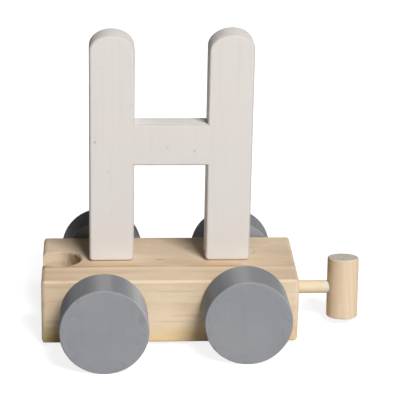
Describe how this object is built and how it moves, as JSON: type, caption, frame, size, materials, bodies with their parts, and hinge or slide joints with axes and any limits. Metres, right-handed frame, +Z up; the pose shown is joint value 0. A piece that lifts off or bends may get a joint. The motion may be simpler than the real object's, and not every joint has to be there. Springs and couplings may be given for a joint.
{
  "type": "letter train car",
  "caption": "Wooden letter train car: a block wagon on turning wheel sets carries an upright capital H, with a peg coupling at one end and an open socket at the other.",
  "frame": {"origin": "on the floor under the middle of the outline", "axes": "+X along the car towards the coupling peg, +Y across it towards the back, +Z up"},
  "size_m": [0.101, 0.0764, 0.0947],
  "materials": {
    "block_wood": "bare, sanded",
    "dowel_wood": "bare, sanded",
    "letter_paint": "thin satin paint",
    "wheel_paint": "matte paint"
  },
  "bodies": {
    "chassis": {"chassis_block": "block_wood", "letter_h": "letter_paint", "letter_peg_socket_end": "dowel_wood", "letter_peg_hook_end": "dowel_wood", "coupling_rod": "dowel_wood", "coupling_peg": "dowel_wood"},
    "wheels_socket_end": {"axle_socket_end": "dowel_wood", "wheel_socket_end_front": "wheel_paint", "wheel_socket_end_back": "wheel_paint"},
    "wheels_hook_end": {"axle_hook_end": "dowel_wood", "wheel_hook_end_front": "wheel_paint", "wheel_hook_end_back": "wheel_paint"}
  },
  "joints": [
    {"name": "socket_end_axle_turn", "type": "hinge", "parent": "chassis", "child": "wheels_socket_end", "pos_m": [-0.03145, 0.00275, 0.0133], "axis": [0, 1, 0], "continuous": true},
    {"name": "hook_end_axle_turn", "type": "hinge", "parent": "chassis", "child": "wheels_hook_end", "pos_m": [0.01195, 0.00275, 0.0133], "axis": [0, 1, 0], "continuous": true}
  ]
}
